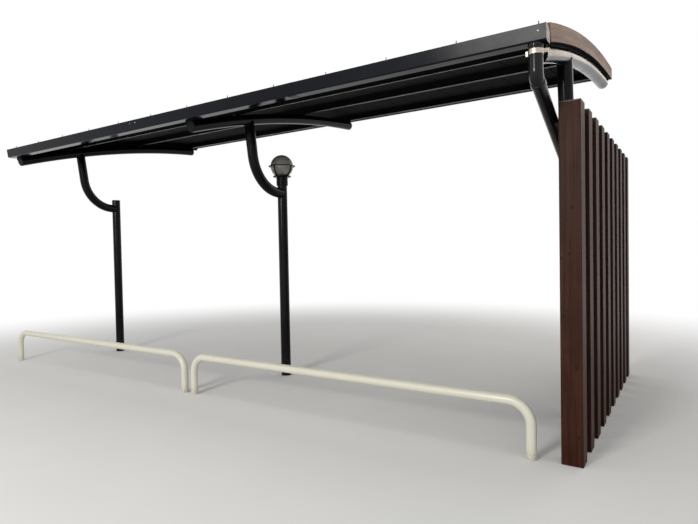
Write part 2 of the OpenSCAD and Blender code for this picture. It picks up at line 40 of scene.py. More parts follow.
lens.lens = 27.49
camera = bpy.data.objects.new("camera", lens)
bpy.context.scene.collection.objects.link(camera)
camera.location = (2.7561, -3.3009, 1.0053)
camera.rotation_euler = [math.radians(turn) for turn in (88.545, 1.077, 32.866)]
bpy.context.scene.camera = camera
bpy.context.scene.view_settings.view_transform = "Standard"


# The studio is a plain pale floor that goes over into white with the distance, white
# all round for the camera and for reflections, and a soft even light.
def put(tree, kind, sockets, **own):
    """Adds a shader node; a socket takes a number, a colour or another node's output."""
    made = tree.nodes.new("ShaderNode" + kind)
    for key, value in own.items():
        setattr(made, key, value)
    for key, value in sockets.items():
        if isinstance(value, bpy.types.NodeSocket):
            tree.links.new(value, made.inputs[key])
        else:
            made.inputs[key].default_value = value
    return made


def calc(tree, how, first, second=0.0, third=0.0, clamp=False):
    """The result of one sum on shader values."""
    terms = {0: first, 1: second, 2: third}
    return put(tree, "Math", terms, operation=how, use_clamp=clamp).outputs[0]


def fade(tree, value, start, end, low=0.0, high=1.0):
    """Goes smoothly from low to high while the value goes from start to end."""
    sockets = {"Value": value, "From Min": start, "From Max": end, "To Min": low, "To Max": high}
    made = put(tree, "MapRange", sockets, interpolation_type="SMOOTHSTEP")
    return made.outputs["Result"]


def mottle(tree, where, scale, detail=4.0, rough=0.5, stretch=None):
    """Soft random values round one half; the scale is in patches a metre."""
    if stretch:
        where = put(tree, "Mapping", {"Vector": where, "Scale": stretch}).outputs["Vector"]
    sockets = {"Vector": where, "Scale": scale, "Detail": detail, "Roughness": rough}
    return put(tree, "TexNoise", sockets).outputs["Fac"]


def tint(tree, amount, first, second):
    """The first colour, going over to the second with the amount."""
    sockets = {"Factor": amount, 6: first, 7: second}
    return put(tree, "Mix", sockets, data_type="RGBA").outputs[2]


def seen_directly(tree):
    """One for rays of the camera, of mirrors and through glass, else nought."""
    rays = put(tree, "LightPath", {}).outputs
    both = calc(tree, "MAXIMUM", rays["Is Camera Ray"], rays["Is Glossy Ray"])
    return calc(tree, "MAXIMUM", both, rays["Is Transmission Ray"])


studio_light = 0.60
floor_grey_to = 2.7
floor_white_from = 6.2
world = bpy.data.worlds.new("studio")
bpy.context.scene.world = world
world.use_nodes = True
sky = world.node_tree
sky.nodes.clear()
strength = fade(sky, seen_directly(sky), 0.0, 1.0, studio_light, 1.0)
white_air = put(sky, "Background", {"Color": (1, 1, 1, 1), "Strength": strength})
put(sky, "OutputWorld", {"Surface": white_air.outputs[0]})

bpy.ops.object.select_all(action="DESELECT")
bpy.ops.mesh.primitive_plane_add(size=120, location=(0, 0, -0.0008))
floor = bpy.context.object
floor.name = "studio_floor"
floor_finish = bpy.data.materials.new("studio_floor")
floor_finish.use_nodes = True
ground = floor_finish.node_tree
ground.nodes.clear()
floor_place = put(ground, "TexCoord", {}).outputs["Object"]
floor_clouds = mottle(ground, floor_place, 1.5, 5.0)
floor_colour = tint(ground, floor_clouds, (0.80, 0.80, 0.79, 1), (0.86, 0.86, 0.85, 1))
floor_face = put(ground, "BsdfDiffuse", {"Color": floor_colour}).outputs[0]
floor_far = put(ground, "VectorMath", {0: floor_place}, operation="LENGTH").outputs["Value"]
floor_fade = fade(ground, floor_far, floor_grey_to, floor_white_from)
floor_white = calc(ground, "MULTIPLY", floor_fade, seen_directly(ground))
floor_glow = put(ground, "Emission", {"Color": (1, 1, 1, 1), "Strength": 1.0}).outputs[0]
floor_sum = put(ground, "MixShader", {0: floor_white, 1: floor_face, 2: floor_glow})
put(ground, "OutputMaterial", {"Surface": floor_sum.outputs[0]})
floor.data.materials.append(floor_finish)


def lamp_panel(name, place, aim, size, power, colour):
    """A square soft light at the place, turned to the aim."""
    panel = bpy.data.lights.new(name, "AREA")
    panel.size = size
    panel.energy = power
    panel.color = colour
    holder = bpy.data.objects.new(name, panel)
    bpy.context.scene.collection.objects.link(holder)
    holder.location = place
    holder.rotation_euler = (Vector(aim) - Vector(place)).to_track_quat("-Z", "Y").to_euler()


lamp_panel("key_light", (0.5, -7.6, 2.8), (0, 0, 1.2), 1.8, 290, (1.0, 0.98, 0.94))
lamp_panel("end_light", (3.7, 5.8, 4.8), (2.2, 0, 2.0), 3.2, 36, (1.0, 0.79, 0.60))


# The three posts are round steel tubes set straight into the floor, with a gooseneck arm
# welded to each; post and arm are sprayed black after welding and baked.
def new_finish(name):
    """An empty finish: its nodes, its shader and the place on the shelter."""
    finish = bpy.data.materials.new(name)
    finish.use_nodes = True
    tree = finish.node_tree
    where = put(tree, "TexCoord", {}).outputs["Object"]
    return finish, tree, tree.nodes["Principled BSDF"], where


def lay_on(tree, shader, colour, rough, relief, strength, depth):
    """Gives the shader its colour and roughness, and a relief of this depth in metres."""
    tree.links.new(colour, shader.inputs["Base Color"])
    tree.links.new(rough, shader.inputs["Roughness"])
    bump = put(tree, "Bump", {"Height": relief, "Strength": strength, "Distance": depth})
    tree.links.new(bump.outputs[0], shader.inputs["Normal"])


def painted_steel(name, dark, pale, shine, gloss, dust):
    """Sprayed paint: orange peel, faint clouds, and dust that thins out upwards."""
    finish, tree, paint, where = new_finish(name)
    height = put(tree, "SeparateXYZ", {"Vector": where}).outputs["Z"]
    clouds = mottle(tree, where, 7.0, 5.0)
    grit = mottle(tree, where, 70.0, 6.0, 0.7)
    runs = mottle(tree, where, 28.0, 4.0, 0.6, (1, 1, 0.06))
    coat = tint(tree, clouds, dark, pale)
    splash = fade(tree, height, 0.32, 0.0)
    settled = calc(tree, "MULTIPLY", splash, fade(tree, grit, 0.42, 0.66))
    washed = calc(tree, "MULTIPLY", fade(tree, runs, 0.55, 0.75), 0.05)
    dirt = calc(tree, "MULTIPLY", calc(tree, "MAXIMUM", settled, washed), dust, clamp=True)
    colour = tint(tree, dirt, coat, (0.105, 0.090, 0.072, 1))
    rough = fade(tree, clouds, 0.3, 0.7, shine, shine + 0.12)
    rough = calc(tree, "MULTIPLY_ADD", dirt, 0.45, rough)
    peel = mottle(tree, where, 330.0, 2.0)
    lay_on(tree, paint, colour, rough, peel, 0.06, 0.0003)
    paint.inputs["Specular IOR Level"].default_value = gloss
    return finish


def dress(material, slot, *names):
    """Gives CAD nodes their finish."""
    for name in names:
        nodes[name].data.materials.clear()
        nodes[name].data.materials.append(material)


def alone():
    """Leaves nothing selected, so that the next operator finds only its own piece."""
    if bpy.context.object and bpy.context.object.mode != "OBJECT":
        bpy.ops.object.mode_set(mode="OBJECT")
    bpy.ops.object.select_all(action="DESELECT")


def take(*pieces):
    """Selects these pieces alone; the first is the active one."""
    alone()
    for piece in pieces:
        piece.select_set(True)
    bpy.context.view_layer.objects.active = pieces[0]


def settle(piece, name, material):
    """Puts a finished piece's place into its mesh, and gives it its name and finish."""
    take(piece)
    bpy.ops.object.transform_apply(location=True, rotation=True, scale=True)
    piece.name = name
    piece.data.name = name
    piece.data.materials.clear()
    piece.data.materials.append(material)
    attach(piece, "root")
    return piece


def modify(piece, kind, **own):
    """Adds a modifier to the piece and applies it."""
    take(piece)
    step = piece.modifiers.new(kind.lower(), kind)
    for key, value in own.items():
        setattr(step, key, value)
    bpy.ops.object.modifier_apply(modifier=step.name)


def smooth(piece, limit=40):
    """Shades the piece smooth but for edges sharper than the limit."""
    take(piece)
    bpy.ops.object.shade_smooth_by_angle(angle=math.radians(limit))


def pick(kind, test):
    """Selects the corners, edges or faces of the open piece whose middle passes the test."""
    bpy.ops.mesh.select_all(action="DESELECT")
    bpy.ops.mesh.select_mode(type=kind)
    form = bmesh.from_edit_mesh(bpy.context.edit_object.data)
    for part in {"VERT": form.verts, "EDGE": form.edges, "FACE": form.faces}[kind]:
        corners = [part.co] if kind == "VERT" else [v.co for v in part.verts]
        if test(sum(corners, Vector()) / len(corners)):
            part.select_set(True)
    form.select_flush_mode()
    bmesh.update_edit_mesh(bpy.context.edit_object.data)


bay = 2.2
bents = (("left", -bay), ("middle", 0.0), ("right", bay))
post_r = 0.03815
deep_black = (0.0020, 0.0022, 0.0031, 1)
soft_black = (0.0037, 0.0040, 0.0054, 1)
black_paint = painted_steel("black_paint", deep_black, soft_black, 0.12, 0.12, 0.22)
dress(black_paint, "black_steel", "post_left", "post_middle", "post_right")
dress(black_paint, "black_steel", "arm_left", "arm_middle", "arm_right")

weld_paint = painted_steel("weld_paint", deep_black, soft_black, 0.18, 0.12, 0.22)
ripple = weld_paint.node_tree.nodes["Bump"]
ripple.inputs["Distance"].default_value = 0.0016
ripple.inputs["Strength"].default_value = 0.6
bead_r = 0.0032


def weld(ring, target, backwards, name):
    """Lays a closed ring of points on the target and thickens it into a weld bead."""
    modify(ring, "SHRINKWRAP", target=target, wrap_method="PROJECT", offset=0.0,
           use_project_z=True, use_positive_direction=not backwards,
           use_negative_direction=backwards)
    take(ring)
    bpy.ops.object.convert(target="CURVE")
    bead = bpy.context.object
    bead.data.bevel_depth = bead_r
    bead.data.bevel_resolution = 3
    bpy.ops.object.convert(target="MESH")
    smooth(bpy.context.object, 60)
    return settle(bpy.context.object, name, weld_paint)


arm_z = 1.455
before_post = -0.075
for side, x in bents:
    alone()
    bpy.ops.mesh.primitive_circle_add(
        vertices=56, radius=post_r - 0.0003, location=(x, before_post, arm_z),
        rotation=(math.radians(90), 0, 0))
    weld(bpy.context.object, nodes["post_" + side], True, "post_weld_" + side)

# At its top the arm is hollowed to the beam's round and welded to it all along, down
# the two sides and round under the beam.
arm_lean = math.radians(7.5)
arm_top_y = -0.3588
below_beam = 1.915
weld_half = 0.0366
for side, x in bents:
    alone()
    bpy.ops.mesh.primitive_circle_add(
        vertices=64, radius=post_r + 0.0004, location=(x, arm_top_y, below_beam),
        rotation=(arm_lean, 0, 0))
    bpy.ops.object.mode_set(mode="EDIT")
    for s in (-1, 1):
        pick("VERT", lambda at: at.x * s > weld_half)
        bpy.ops.transform.resize(value=(0, 1, 1), center_override=(x + s * weld_half, 0, 0))
    bpy.ops.object.mode_set(mode="OBJECT")
    weld(bpy.context.object, nodes["beam_" + side], False, "beam_weld_" + side)


# Moulded black plastic closes the posts and the beams' ends. Saddles in matt black paint
# carry the purlins on the beams, each held by screws through its sides.
def moulded_plastic(name, dark, pale, shine):
    """Black plastic with a spark-eroded grain and a light haze of weather."""
    finish, tree, plastic, where = new_finish(name)
    haze = mottle(tree, where, 22.0, 6.0, 0.6)
    grain = mottle(tree, where, 1400.0, 2.0)
    colour = tint(tree, fade(tree, haze, 0.35, 0.72), dark, pale)
    rough = fade(tree, haze, 0.3, 0.7, shine, shine + 0.16)
    lay_on(tree, plastic, colour, rough, grain, 0.3, 0.0003)
    plastic.inputs["Specular IOR Level"].default_value = 0.10
    return finish


cap_plastic = moulded_plastic(
    "cap_plastic", (0.0024, 0.0024, 0.0030, 1), (0.0056, 0.0056, 0.0064, 1), 0.42)
dress(cap_plastic, "trim_black", "post_cap_left", "post_cap_right", "beam_plugs")
saddle_paint = painted_steel(
    "saddle_paint", (0.0036, 0.0036, 0.0046, 1), (0.0080, 0.0080, 0.0090, 1), 0.46, 0.05, 0.14)
dress(saddle_paint, "black_steel", "purlin_saddles")
dress(black_paint, "black_steel", "beam_left", "beam_middle", "beam_right")


def zinc(name, colour, shine):
    """Zinc on small steel: fine crystals, dull spots and a slight relief."""
    finish, tree, metal, where = new_finish(name)
    dull = mottle(tree, where, 160.0, 5.0, 0.65)
    worn = [part * 0.55 for part in colour[:3]] + [1]
    shade = tint(tree, fade(tree, dull, 0.4, 0.7), colour, worn)
    rough = fade(tree, dull, 0.3, 0.7, shine, shine + 0.2)
    lay_on(tree, metal, shade, rough, dull, 0.3, 0.0002)
    metal.inputs["Metallic"].default_value = 1.0
    return finish


def repeat(piece, places):
    """Copies a piece to each place, each copy with a mesh of its own, and joins them."""
    copies = []
    for place in places:
        copy = piece.copy()
        copy.data = piece.data.copy()
        bpy.context.scene.collection.objects.link(copy)
        copy.matrix_world = place @ piece.matrix_world
        copies.append(copy)
    bpy.data.objects.remove(piece)
    take(*copies)
    bpy.ops.object.join()
    return bpy.context.object


black_zinc = zinc("black_zinc", (0.06, 0.06, 0.065, 1), 0.38)
washer_t = 0.0014


def hex_screw(across, high, washer):
    """A hexagon head on a dished washer, standing at the origin along Z."""
    alone()
    bpy.ops.mesh.primitive_cylinder_add(
        vertices=6, radius=across / math.sqrt(3), depth=high, location=(0, 0, high / 2 + 0.0012))
    head = bpy.context.object
    bpy.ops.object.mode_set(mode="EDIT")
    pick("FACE", lambda at: at.z > high * 0.49)
    bpy.ops.mesh.inset(thickness=across * 0.10)
    bpy.ops.transform.translate(value=(0, 0, high * 0.10))
    bpy.ops.object.mode_set(mode="OBJECT")
    alone()
    bpy.ops.mesh.primitive_cylinder_add(
        vertices=14, radius=washer, depth=washer_t, location=(0, 0, washer_t / 2))
    disc = bpy.context.object
    bpy.ops.object.mode_set(mode="EDIT")
    pick("FACE", lambda at: at.z > washer_t * 0.43)
    bpy.ops.mesh.inset(thickness=washer * 0.14)
    bpy.ops.transform.translate(value=(0, 0, washer_t / 2))
    bpy.ops.object.mode_set(mode="OBJECT")
    take(head, disc)
    bpy.ops.object.join()
    return bpy.context.object


arch_y = 1.526
arch_z = -6.0464


def on_arch(x, y, r):
    """The place on the arch of radius r at the depth y, upright on its slope."""
    a = math.asin((y - arch_y) / r)
    centre = Matrix.Translation((x, arch_y, arch_z))
    return centre @ Matrix.Rotation(-a, 4, "X") @ Matrix.Translation((0, 0, r))


def sideways(place, s):
    """The place with Z turned to the right where s is one, and to the left where it is
    minus one."""
    return Matrix.Translation(place) @ Matrix.Rotation(s * math.pi / 2, 4, "Y")


purlin_r = 8.27615
purlin_ys = (-0.468, 0.287, 0.985)
saddle_half = 0.024
below_purlin = -0.0052
saddle_places = []
for x, sides in ((-bay, (1,)), (0.0, (-1, 1)), (bay, (-1,))):
    for y in purlin_ys:
        for s in sides:
            on_side = sideways((s * saddle_half, 0, below_purlin), s)
            saddle_places.append(on_arch(x, y, purlin_r) @ on_side)
saddle_screws = repeat(hex_screw(0.006, 0.003, 0.0042), saddle_places)
settle(saddle_screws, "saddle_screws", black_zinc)


# The purlins are box sections in a duller black than the beams; the front one stands
# upright behind the gutter. Their ends are fixed to the side rails, angles in matt
# primer that stand on the end beams and carry the verge boards on a flange.
purlin_paint = painted_steel("purlin_paint", deep_black, soft_black, 0.38, 0.09, 0.5)
dress(purlin_paint, "black_steel", "purlin_front", "purlin_lower", "purlin_upper", "purlin_rear")
rail_primer = painted_steel(
    "rail_primer", (0.0020, 0.0020, 0.0026, 1), (0.0036, 0.0036, 0.0044, 1), 0.72, 0.05, 0.5)
dress(rail_primer, "black_steel", "side_rail_left", "side_rail_right")


# The roof is colour-coated sheet, folded into narrow standing ribs; two sheets lap at
# the ridge rib, and capped screws through the ribs hold them to the purlins.
def coated_sheet(name, dark, pale, shine, under, gloss):
    """Baked coat with rain marks and dust on top; under is the roughness of undersides."""
    finish, tree, coat, where = new_finish(name)
    marks = mottle(tree, where, 16.0, 5.0, 0.6, (1, 0.07, 1))
    clouds = mottle(tree, where, 3.0, 6.0, 0.6)
    facing = put(tree, "NewGeometry", {}).outputs["Normal"]
    upward = put(tree, "SeparateXYZ", {"Vector": facing}).outputs["Z"]
    rained = fade(tree, marks, 0.32, 0.76, 0.08, 0.34)
    dust = calc(tree, "MULTIPLY", fade(tree, upward, 0.5, 1.0), rained)
    base = tint(tree, clouds, dark, pale)
    colour = tint(tree, dust, base, (0.080, 0.074, 0.064, 1))
    rough = fade(tree, clouds, 0.3, 0.7, shine, shine + 0.08)
    rough = calc(tree, "MULTIPLY_ADD", dust, 0.5, rough)
    matt = fade(tree, upward, -0.85, -0.97, 0.0, under - shine)
    rough = calc(tree, "ADD", rough, matt)
    waves = mottle(tree, where, 5.0, 2.0, 0.4)
    peel = mottle(tree, where, 420.0, 2.0)
    relief = calc(tree, "MULTIPLY_ADD", peel, 0.05, waves)
    lay_on(tree, coat, colour, rough, relief, 0.25, 0.004)
    coat.inputs["Specular IOR Level"].default_value = gloss
    return finish


roof_coat = coated_sheet(
    "roof_coat", (0.0045, 0.0050, 0.0063, 1), (0.0080, 0.0088, 0.0110, 1), 0.30, 0.88, 0.10)
dress(roof_coat, "roof_sheet", "roof_deck_left", "roof_deck_right")

rib_top_r = 8.34455
rib_pitch = 0.16666
ribs_a_side = 13
front_purlin_y = -0.916
screw_places = []
for y in (front_purlin_y,) + purlin_ys:
    for k in range(-ribs_a_side, ribs_a_side):
        screw_places.append(on_arch((k + 0.5) * rib_pitch, y, rib_top_r))
deck_screws = repeat(hex_screw(0.0062, 0.0045, 0.0046), screw_places)
settle(deck_screws, "deck_screws", roof_coat)


# The verge boards along the roof's two ends are hollow aluminium boards, bent to the
# arch and wrapped in a brown film whose grain runs along the board. The board at the
# roof's rear is folded steel, painted black.
def grain_film(name, dark, pale, shine, gloss, knot, along):
    """Printed and embossed wood film; knot is how light its knots are, and along gives
    the place with Z along the grain."""
    finish, tree, film, at = new_finish(name)
    where = along(tree, at)
    fibre = mottle(tree, where, 1.0, 8.0, 0.62, (260, 260, 3.2))
    figure = mottle(tree, where, 1.0, 4.0, 0.5, (38, 38, 0.9))
    patch = mottle(tree, where, 1.0, 2.0, 0.5, (6, 6, 0.7))
    blotch = mottle(tree, where, 1.0, 3.0, 0.5, (17, 17, 8))
    rings = mottle(tree, where, 1.0, 1.0, 0.3, (40, 40, 26))
    knots = fade(tree, rings, 0.69, 0.78, 1.0, knot)
    wave = calc(tree, "MULTIPLY_ADD", fibre, 0.55, calc(tree, "MULTIPLY", figure, 0.45))
    amount = fade(tree, wave, 0.34, 0.64)
    lift = calc(tree, "MULTIPLY", fade(tree, patch, 0.3, 0.7, 0.86, 1.14), knots)
    lift = calc(tree, "MULTIPLY", lift, fade(tree, blotch, 0.32, 0.68, 0.88, 1.12))
    colour = tint(tree, amount, dark, pale)
    varied = put(tree, "VectorMath", {0: colour, "Scale": lift}, operation="SCALE").outputs[0]
    rough = fade(tree, wave, 0.3, 0.7, shine + 0.10, shine)
    lay_on(tree, film, varied, rough, fibre, 0.45, 0.0006)
    film.inputs["Specular IOR Level"].default_value = gloss
    return finish


def along_arch(tree, at):
    """The place as the distance from the arch's axis and the way along the arch."""
    apart = put(tree, "SeparateXYZ", {"Vector": at}).outputs
    deep = calc(tree, "SUBTRACT", apart["Y"], arch_y)
    high = calc(tree, "SUBTRACT", apart["Z"], arch_z)
    square = calc(tree, "MULTIPLY_ADD", deep, deep, calc(tree, "MULTIPLY", high, high))
    out = calc(tree, "SQRT", square)
    way = calc(tree, "MULTIPLY", calc(tree, "ARCTAN2", deep, high), rib_top_r)
    return put(tree, "CombineXYZ", {"X": apart["X"], "Y": out, "Z": way}).outputs[0]


verge_film = grain_film(
    "verge_film", (0.096, 0.050, 0.033, 1), (0.260, 0.157, 0.105, 1),
    0.46, 0.13, 0.85, along_arch)
dress(verge_film, "board_film", "verge_left", "verge_right")
rear_paint = painted_steel(
    "rear_paint", (0.0040, 0.0040, 0.0050, 1), (0.007, 0.007, 0.0085, 1), 0.26, 0.15, 0.8)
dress(rear_paint, "black_steel", "rear_board")


# The gutter is folded dark sheet along the roof's front, with screwed end caps. Straps
# across its trough hold it, and their studs stand up through the front lip.
gutter_coat = coated_sheet(
    "gutter_coat", (0.0036, 0.0044, 0.0072, 1), (0.0054, 0.0064, 0.0098, 1), 0.20, 0.05, 0.10)
dress(gutter_coat, "black_steel", "gutter", "gutter_cap_left", "gutter_cap_right")
dress(cap_plastic, "trim_black", "gutter_outlet")

gutter_lip_y = -0.9935
gutter_top_z = 1.91803
strap_first = -2.094
strap_pitch = 0.3595
strap_n = 13
strap_w = 0.020
strap_drop = 0.0032
strap_t = 0.0018
strap_places = [Matrix.Translation((strap_first + k * strap_pitch, 0, 0)) for k in range(strap_n)]

alone()
bpy.ops.mesh.primitive_plane_add(size=1, location=(0, gutter_lip_y, gutter_top_z - strap_drop))
strap = bpy.context.object
bpy.ops.object.mode_set(mode="EDIT")
bpy.ops.transform.resize(value=(strap_w, 0.008, 1))
for step in ((0, 0.010, -0.0005), (0, 0.030, -0.010), (0, 0.0115, -0.0085), (0, 0.0018, -0.018)):
    form = bmesh.from_edit_mesh(strap.data)
    back = max(v.co.y for v in form.verts)
    pick("EDGE", lambda at: at.y > back - 1e-5)
    bpy.ops.mesh.extrude_edges_move(TRANSFORM_OT_translate={"value": step})
bpy.ops.object.mode_set(mode="OBJECT")
modify(strap, "SOLIDIFY", thickness=strap_t, offset=-1.0)
modify(strap, "BEVEL", width=0.0006, segments=2)
straps = repeat(strap, strap_places)
smooth(straps)
settle(straps, "gutter_straps", black_zinc)

stud_r = 0.0020
stud_l = 0.020
stud_tip = 0.0006
alone()
bpy.ops.mesh.primitive_cylinder_add(
    vertices=12, radius=stud_r, depth=stud_l, location=(0, gutter_lip_y, gutter_top_z + 0.003))
stud = bpy.context.object
bpy.ops.object.mode_set(mode="EDIT")
pick("FACE", lambda at: at.z > stud_l * 0.495)
bpy.ops.mesh.inset(thickness=stud_tip)
bpy.ops.transform.translate(value=(0, 0, stud_tip))
bpy.ops.object.mode_set(mode="OBJECT")
nut = hex_screw(0.0066, 0.0036, 0.0042)
nut.location = (0, gutter_lip_y, gutter_top_z - 0.0002)
take(stud, nut)
bpy.ops.object.join()
studs = repeat(bpy.context.object, strap_places)
smooth(studs)
settle(studs, "gutter_studs", black_zinc)

# A sleeve covers the joint between the gutter's two lengths; round-headed rivets and
# screws hold the gutter and its caps.
gutter_low_y = -0.988
gutter_z = 1.85103
gutter_back_y = -0.930
face_lean = math.atan2(0.010, 0.067)
edge_r = 0.008
edge_y = gutter_low_y + edge_r * math.tan(math.pi / 4 - face_lean / 2)
joint_x = 0.898
joint_w = 0.050
joint_t = 0.0008
bend_steps = 5
joint_line = [Vector((0, gutter_back_y, gutter_z - joint_t / 2))]
for k in range(bend_steps + 1):
    a = math.radians(270) - k / bend_steps * (math.pi / 2 - face_lean)
    r = edge_r + joint_t / 2
    joint_line.append(Vector((0, edge_y + r * math.cos(a), gutter_z + edge_r + r * math.sin(a))))
face_way = Vector((0, -math.sin(face_lean), math.cos(face_lean)))
joint_line.append(joint_line[-1] + face_way * ((gutter_top_z - joint_line[-1].z) / face_way.z))
alone()
bpy.ops.mesh.primitive_plane_add(size=1, location=joint_line[0] + Vector((joint_x, 0, 0)))
joint = bpy.context.object
bpy.ops.object.mode_set(mode="EDIT")
bpy.ops.transform.resize(value=(joint_w, 0.0002, 1))
pick("EDGE", lambda at: at.y < -0.00005)
for start, end in zip(joint_line, joint_line[1:]):
    bpy.ops.mesh.extrude_edges_move(TRANSFORM_OT_translate={"value": end - start})
bpy.ops.object.mode_set(mode="OBJECT")
modify(joint, "SOLIDIFY", thickness=joint_t, offset=0.0)
smooth(joint, 30)
settle(joint, "gutter_joint", gutter_coat)


def dome_head(radius, high):
    """A low round head that stands at the origin along Z, with a socket in its top."""
    alone()
    bpy.ops.mesh.primitive_cylinder_add(
        vertices=20, radius=radius, depth=high * 0.5, location=(0, 0, high * 0.25))
    head = bpy.context.object
    bpy.ops.object.mode_set(mode="EDIT")
    pick("FACE", lambda at: at.z > high * 0.24)
    for share, rise in ((0.16, 0.26), (0.24, 0.16), (0.24, 0.05)):
        bpy.ops.mesh.inset(thickness=radius * share)
        bpy.ops.transform.translate(value=(0, 0, high * rise))
    bpy.ops.mesh.inset(thickness=radius * 0.06)
    bpy.ops.mesh.extrude_region_move(TRANSFORM_OT_translate={"value": (0, 0, -high * 0.3)})
    bpy.ops.object.mode_set(mode="OBJECT")
    smooth(head, 35)
    return head


bright_zinc = zinc("bright_zinc", (0.62, 0.60, 0.56, 1), 0.30)


def on_gutter_face(x, z):
    """A place on the gutter's front face, with Z out of it."""
    y = gutter_low_y - (z - gutter_z) * math.tan(face_lean)
    return Matrix.Translation((x, y, z)) @ Matrix.Rotation(math.pi / 2 - face_lean, 4, "X")


rivet_z = 1.898
rivet_places = [on_gutter_face(x, rivet_z) for x in (-0.524, -0.466)]
rivets = repeat(dome_head(0.0036, 0.0022), rivet_places)
settle(rivets, "gutter_rivets", bright_zinc)

cap_face_x = 2.2498
cap_places = [on_gutter_face(2.217, 1.893)]
for s in (-1, 1):
    for y, z in ((-0.975, 1.897), (-0.945, 1.866)):
        cap_places.append(sideways((s * cap_face_x, y, z), s))
cap_screws = repeat(dome_head(0.0040, 0.0026), cap_places)
settle(cap_screws, "gutter_screws", bright_zinc)


# The downspout is black PVC pipe with moulded elbows; a socket ring closes each joint,
# and steel bands with a lug and a bolt hold it to the beam and the post.
def pvc(name, dark, pale, shine):
    """Drawn plastic pipe: glossy, with faint draw lines, scuffs and dust low down."""
    finish, tree, pipe, where = new_finish(name)
    height = put(tree, "SeparateXYZ", {"Vector": where}).outputs["Z"]
    clouds = mottle(tree, where, 12.0, 5.0, 0.6)
    lines = mottle(tree, where, 1.0, 3.0, 0.5, (420, 420, 2.5))
    scuffs = mottle(tree, where, 60.0, 6.0, 0.7)
    low = calc(tree, "MULTIPLY", fade(tree, height, 0.45, 0.02), fade(tree, scuffs, 0.42, 0.68))
    base = tint(tree, clouds, dark, pale)
    colour = tint(tree, calc(tree, "MULTIPLY", low, 0.35), base, (0.11, 0.095, 0.078, 1))
    rough = fade(tree, scuffs, 0.35, 0.7, shine, shine + 0.18)
    lay_on(tree, pipe, colour, rough, lines, 0.18, 0.0004)
    pipe.inputs["Specular IOR Level"].default_value = 0.26
    return finish


pipe_black = pvc("pipe_black", (0.0026, 0.0028, 0.0034, 1), (0.0046, 0.0048, 0.0056, 1), 0.12)
dress(pipe_black, "pipe_plastic", "downspout_upper", "downspout_slope")
dress(pipe_black, "pipe_plastic", "downspout_lower", "downspout_shoe")

pipe_r = 0.030
pipe_y = -0.9645
post_pipe_y = -(post_r + 0.012 + pipe_r)
pipe_fall = math.radians(24)
knee_z = gutter_z - 0.139
knee_low_z = knee_z - (post_pipe_y - pipe_y) * math.tan(pipe_fall)
knee_r = 0.045
knee_reach = knee_r * math.tan((math.pi / 2 - pipe_fall) / 2)
ring_r = pipe_r + 0.0026
rim_r = pipe_r + 0.0012
ring_bore = pipe_r - 0.0012
rim_step = 0.0016


def socket_ring(name, place, turn, long):
    """A moulded socket round the pipe at the place, with a rolled rim at each end and its
    inner wall sunk in the pipe's."""
    alone()
    bpy.ops.mesh.primitive_cylinder_add(
        vertices=48, radius=ring_r, depth=long, end_fill_type="NOTHING")
    ring = bpy.context.object
    bpy.ops.object.mode_set(mode="EDIT")
    for s in (-1, 1):
        pick("EDGE", lambda at: at.z * s > long * 0.49)
        bpy.ops.mesh.extrude_edges_move(TRANSFORM_OT_translate={"value": (0, 0, s * rim_step)})
        bpy.ops.transform.resize(value=(rim_r / ring_r, rim_r / ring_r, 1))
        bpy.ops.mesh.extrude_edges_move(TRANSFORM_OT_translate={"value": (0, 0, 0)})
        bpy.ops.transform.resize(value=(ring_bore / rim_r, ring_bore / rim_r, 1))
    bpy.ops.mesh.select_all(action="DESELECT")
    bpy.ops.mesh.select_non_manifold()
    bpy.ops.mesh.bridge_edge_loops()
    bpy.ops.mesh.select_all(action="SELECT")
    bpy.ops.mesh.normals_make_consistent(inside=False)
    bpy.ops.object.mode_set(mode="OBJECT")
    modify(ring, "BEVEL", width=0.0009, segments=2, limit_method="ANGLE",
           angle_limit=math.radians(30))
    ring.matrix_world = Matrix.Translation(place) @ Matrix.Rotation(turn, 4, "X")
    smooth(ring, 50)
    return settle(ring, name, pipe_black)


socket_l = 0.026
socket_in = 0.012
slope_turn = -(math.pi / 2 + pipe_fall)
slope_dir = Vector((0, math.cos(pipe_fall), -math.sin(pipe_fall)))
upper_joint = Vector((bay, pipe_y, knee_z)) + slope_dir * (knee_reach + socket_in)
lower_joint = Vector((bay, post_pipe_y, knee_low_z)) - slope_dir * (knee_reach + socket_in)
socket_ring("socket_upper", upper_joint, slope_turn, socket_l)
socket_ring("socket_slope", lower_joint, slope_turn, socket_l)
socket_ring("socket_lower", (bay, post_pipe_y, knee_low_z - knee_reach - 0.014), 0, 0.028)
shoe_z = 0.130
socket_ring("socket_shoe", (bay, post_pipe_y, shoe_z + socket_in), 0, socket_l)
socket_ring("socket_outlet", (bay, pipe_y, gutter_z - 0.0085), 0, 0.010)

band_metal = zinc("band_metal", (0.60, 0.52, 0.42, 1), 0.26)
dress(band_metal, "band_steel", "downspout_clamp", "downspout_bands")

# Each band is closed by two ears with a bolt through them.
clamp_z = gutter_z - 0.037
band_w = 0.021
band_r = pipe_r + 0.0023
ear_x = -(band_r + 0.0032)
ear_apart = 0.0030
bolt_x = -(band_r + 0.0038)
bolt_out = 0.0040
alone()
bpy.ops.mesh.primitive_cube_add(size=1, location=(ear_x, ear_apart, 0))
ear = bpy.context.object
bpy.ops.object.mode_set(mode="EDIT")
bpy.ops.transform.resize(value=(0.0095, 0.002, band_w - 0.001))
pick("EDGE", lambda at: at.x < -0.0045 and abs(at.z) > 0.0095)
bpy.ops.mesh.bevel(offset=0.003, segments=4)
bpy.ops.object.mode_set(mode="OBJECT")
far_ear = ear.copy()
far_ear.data = ear.data.copy()
bpy.context.scene.collection.objects.link(far_ear)
far_ear.location.y = -ear_apart
bolt = hex_screw(0.0050, 0.0030, 0.0036)
bolt.location = (bolt_x, -bolt_out, 0)
